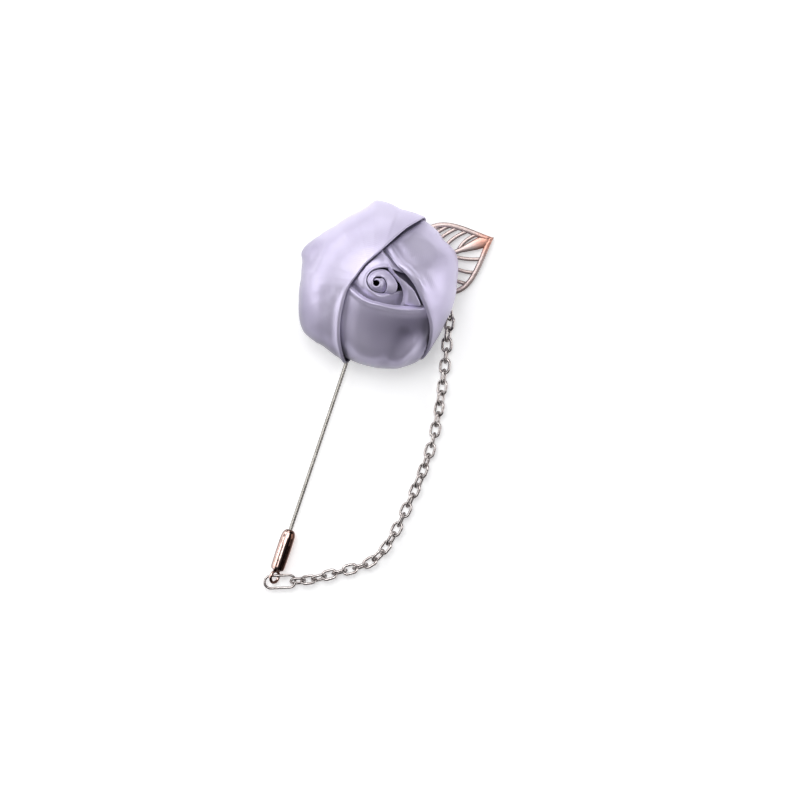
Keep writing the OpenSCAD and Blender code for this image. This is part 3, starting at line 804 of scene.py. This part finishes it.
def satin_material(name, light, dark):
    """Satin with painted shade: darker where it is tucked in and towards its lower edge."""
    mat, nodes, links, bsdf = material(name)
    where = nodes.new("ShaderNodeTexCoord").outputs["Object"]
    color = ramp(nodes, links, noise(nodes, links, where, 90.0, 2.0),
                 [(0.35, dark), (0.65, light)])
    # painted shade, darker towards the lower edge, most of all beside the needle
    height = vector_math(nodes, links, "DOT_PRODUCT", where, (0.08, 0.304, 1.0))
    shade = ramp(nodes, links, map_range(nodes, links, height, 2.0 * MM, 15.0 * MM),
                 [(0.0, (0.27, 0.265, 0.30, 1)), (0.45, (0.62, 0.615, 0.65, 1)),
                  (0.62, (0.82, 0.82, 0.84, 1)), (0.85, (1, 1, 1, 1))])
    # painted shade from each point's tone, darkest in the tucks
    tuck = nodes.new("ShaderNodeAttribute")
    tuck.attribute_name = "tone"
    deep = ramp(nodes, links, tuck.outputs["Fac"],
                [(0.0, (0, 0, 0, 1)), (0.5, (0.50, 0.49, 0.53, 1)), (1.0, (1, 1, 1, 1))])
    for layer in (shade, deep):
        color = mixed(nodes, links, 1.0, color, layer, "MULTIPLY")
    links.new(color, bsdf.inputs["Base Color"])
    bsdf.inputs["Metallic"].default_value = 0.42
    bsdf.inputs["Roughness"].default_value = 0.40
    bsdf.inputs["Anisotropic"].default_value = 0.45
    bsdf.inputs["Sheen Weight"].default_value = 0.25
    bsdf.inputs["Sheen Roughness"].default_value = 0.4
    tangent = nodes.new("ShaderNodeTangent")
    tangent.direction_type = "UV_MAP"
    tangent.uv_map = "UVMap"
    links.new(tangent.outputs["Tangent"], bsdf.inputs["Tangent"])
    # satin weave: fine floats across the strip, and a slow unevenness
    uv = nodes.new("ShaderNodeUVMap")
    uv.uv_map = "UVMap"
    weave = nodes.new("ShaderNodeTexWave")
    weave.wave_type = "BANDS"
    weave.bands_direction = "DIAGONAL"
    weave.inputs["Scale"].default_value = 1.1
    weave.inputs["Distortion"].default_value = 0.6
    weave.inputs["Detail"].default_value = 1.0
    links.new(uv.outputs["UV"], weave.inputs["Vector"])
    slow = noise(nodes, links, where, 260.0, 3.0)
    fine = bumped(nodes, links, weave.outputs["Fac"], 0.10, 0.08 * MM)
    broad = bumped(nodes, links, slow, 0.16, 0.6 * MM, over=fine)
    links.new(broad, bsdf.inputs["Normal"])
    return mat


def felt_material(name):
    """Matt felt with short fibres."""
    mat, nodes, links, bsdf = material(name)
    where = nodes.new("ShaderNodeTexCoord").outputs["Object"]
    fibre = noise(nodes, links, where, 2600.0, 6.0, 0.7)
    color = ramp(nodes, links, fibre,
                 [(0.3, srgb(196, 190, 206)), (0.7, srgb(224, 220, 230))])
    links.new(color, bsdf.inputs["Base Color"])
    bsdf.inputs["Roughness"].default_value = 0.95
    bsdf.inputs["Sheen Weight"].default_value = 0.5
    links.new(bumped(nodes, links, fibre, 0.7, 0.3 * MM), bsdf.inputs["Normal"])
    return mat


def metal_material(name, light, dark, roughness, scale, strength, painted_dark_reflection,
                   facing=(0, 0, 1), turn=(0.15, 0.62)):
    """Polished metal with a painted dark reflection: its colour turns dark in a band where
    it turns away from one direction, standing in for the dim horizon of the studio that it
    would mirror."""
    mat, nodes, links, bsdf = material(name)
    where = nodes.new("ShaderNodeTexCoord")
    tone = noise(nodes, links, where.outputs["Object"], scale, 4.0, 0.6)
    color = ramp(nodes, links, tone, [(0.35, dark), (0.62, light)])
    # painted dark reflection: the colour goes dark where the normal turns away from facing
    faced = vector_math(nodes, links, "DOT_PRODUCT", where.outputs["Normal"], facing)
    band = ramp(nodes, links, map_range(nodes, links, faced, -1.0, 1.0),
                [(at, (shade, shade, shade, 1)) for at, shade in
                 ((0.40, 1), (0.50, 0), ((1 + turn[0]) / 2, 0), ((1 + turn[1]) / 2, 1))])
    links.new(mixed(nodes, links, band, painted_dark_reflection, color), bsdf.inputs["Base Color"])
    links.new(map_range(nodes, links, tone, 0.0, 1.0, roughness * 0.75, roughness * 1.3),
              bsdf.inputs["Roughness"])
    bsdf.inputs["Metallic"].default_value = 1.0
    links.new(bumped(nodes, links, tone, strength, 0.1 * MM), bsdf.inputs["Normal"])
    return mat


def leaf_material(name):
    """Plated wire with painted shade: pale along its ridge, dark down its sides where it
    meets the gaps, and a painted glint on the solid tip.
    """
    mat, nodes, links, bsdf = material(name)
    where = nodes.new("ShaderNodeTexCoord").outputs["Object"]
    uv = nodes.new("ShaderNodeUVMap")
    uv.uv_map = "UVMap"
    split = nodes.new("ShaderNodeSeparateXYZ")
    links.new(uv.outputs["UV"], split.inputs["Vector"])
    ridge = nodes.new("ShaderNodeMath")
    ridge.operation = "SINE"
    links.new(split.outputs["Y"], ridge.inputs[0])
    grain = noise(nodes, links, where, 420.0, 4.0, 0.6)
    total = nodes.new("ShaderNodeMath")
    total.operation = "MULTIPLY_ADD"
    links.new(grain, total.inputs[0])
    total.inputs[1].default_value = 0.7
    links.new(ridge.outputs["Value"], total.inputs[2])
    color = ramp(nodes, links, total.outputs["Value"],
                 [(0.55, srgb(98, 78, 74)), (0.95, srgb(176, 152, 147)),
                  (1.0, srgb(206, 188, 184))])
    # painted glint: a warm orange highlight on the solid tip
    tip = vector_math(nodes, links, "DISTANCE", where,
                      (24.9 * MM, 19.6 * MM, 1.9 * MM))
    near = map_range(nodes, links, tip, 1.0 * MM, 4.2 * MM, 0.8, 0.0)
    links.new(mixed(nodes, links, near, color, srgb(226, 160, 138)),
              bsdf.inputs["Base Color"])
    bsdf.inputs["Metallic"].default_value = 0.85
    bsdf.inputs["Roughness"].default_value = 0.42
    links.new(bumped(nodes, links, grain, 0.35, 0.2 * MM), bsdf.inputs["Normal"])
    return mat


def dress(obj, mat):
    obj.data.materials.clear()
    obj.data.materials.append(mat)


satin = satin_material("satin", srgb(214, 207, 232), srgb(204, 196, 224))
felt_mat = felt_material("felt")
leaf_mat = leaf_material("leaf_plate")
# the flank colours are painted dark reflections; on the cap the lit band leans off its
# middle
cap_mat = metal_material("cap_plate", srgb(238, 208, 200), srgb(214, 182, 172), 0.17,
                         500.0, 0.05, srgb(88, 62, 54), (-0.45, 0, 0.89), (0.72, 0.90))
chain_mat = metal_material("chain_plate", srgb(206, 200, 198), srgb(160, 150, 148),
                           0.24, 1200.0, 0.15, srgb(70, 52, 52))
needle_mat = metal_material("needle_steel", srgb(190, 186, 180), srgb(164, 160, 154),
                            0.26, 700.0, 0.06, srgb(84, 80, 76), (0, 0, 1), (0.3, 0.85))

for obj in satin_pieces:
    dress(obj, satin)
    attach(obj, "root")
dress(felt, felt_mat)
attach(felt, "root")
dress(leaf, leaf_mat)
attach(leaf, "root")

METALS = {"pin_cap": cap_mat, "stick_pin": needle_mat}
REPLACED = {"petal_left", "petal_right", "petal_lower", "petal_inner_left",
            "petal_inner_right", "bud_roll", "back_disc", "leaf"}
for name, node in NODES.items():
    if name in REPLACED:
        continue
    if name in METALS:
        dress(node, METALS[name])
    elif name.startswith("link_") or name.endswith("_ring"):
        dress(node, chain_mat)
    node.data.polygons.foreach_set("use_smooth", [True] * len(node.data.polygons))

# Floor, light and camera
# The photo's right and up in the part's frame, its width in pixels, the size of a pixel
# in millimetres, the pixel where the frame's origin is, and the photo's middle
TURN = math.radians(18.54)
RIGHT = Vector((math.cos(TURN), math.sin(TURN), 0))
UP = Vector((-math.sin(TURN), math.cos(TURN), 0))
Z = Vector((0, 0, 1))
PHOTO, PX, ORIGIN_AT = 800, 0.265, (373.3, 282.8)
MIDDLE = (RIGHT * (PHOTO / 2 - ORIGIN_AT[0]) - UP * (PHOTO / 2 - ORIGIN_AT[1])) * PX * MM

FLOOR, FLOOR_Z = 1.2, -0.05 * MM
floor_mesh = bpy.data.meshes.new("floor")
floor_mesh.from_pydata([(x, y, FLOOR_Z) for x, y in
                        ((-FLOOR, -FLOOR), (FLOOR, -FLOOR), (FLOOR, FLOOR),
                         (-FLOOR, FLOOR))], [], [(0, 1, 2, 3)])
floor = bpy.data.objects.new("floor", floor_mesh)
bpy.context.scene.collection.objects.link(floor)
floor_mat, _, _, floor_bsdf = material("floor_white")
floor_bsdf.inputs["Base Color"].default_value = (0.86, 0.86, 0.87, 1)
floor_bsdf.inputs["Roughness"].default_value = 0.9
floor_bsdf.inputs["Emission Color"].default_value = (1, 1, 1, 1)
floor_bsdf.inputs["Emission Strength"].default_value = 0.42
dress(floor, floor_mat)
floor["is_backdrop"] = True


LIGHT_SIZE, ROSE_MIDDLE = 0.6, 0.01


def area_light(name, around, above, power):
    """A soft box 1 m from the rose: degrees around from the photo's right, and above."""
    data = bpy.data.lights.new(name, "AREA")
    data.shape = "SQUARE"
    data.size = LIGHT_SIZE
    data.energy = power
    obj = bpy.data.objects.new(name, data)
    bpy.context.scene.collection.objects.link(obj)
    flat = RIGHT * float(cosd(around)) + UP * float(sind(around))
    way = flat * float(cosd(above)) + Z * float(sind(above))
    obj.location = way + Z * ROSE_MIDDLE
    obj.rotation_euler = way.to_track_quat("Z", "Y").to_euler()


area_light("key", 135, 68, 3.4)
area_light("high_back", 90, 68, 2.4)
area_light("left", 180, 22, 2.8)
area_light("left_back", 135, 22, 2.5)
area_light("back", 90, 22, 2.0)
area_light("right", 0, 22, 3.3)
world = bpy.data.worlds.new("studio")
bpy.context.scene.world = world
world.use_nodes = True
sky = world.node_tree.nodes["Background"]
sky.inputs["Color"].default_value = (0.95, 0.96, 1.0, 1)
sky.inputs["Strength"].default_value = 0.03

# Far away with a long lens, so that the photo's width fills the picture
DISTANCE, SENSOR = 3.0, 36
camera_data = bpy.data.cameras.new("camera")
camera = bpy.data.objects.new("camera", camera_data)
bpy.context.scene.collection.objects.link(camera)
camera_data.sensor_width = SENSOR
camera_data.lens = SENSOR * DISTANCE / (PHOTO * PX * MM)
camera_data.clip_end = 20
camera.matrix_world = Matrix.Translation(MIDDLE + Z * DISTANCE) @ Matrix(
    (tuple(RIGHT), tuple(UP), tuple(Z))).transposed().to_4x4()
bpy.context.scene.camera = camera
bpy.context.scene.view_settings.view_transform = "Standard"
bpy.context.scene.view_settings.look = "None"

bpy.context.view_layer.update()
low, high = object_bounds()
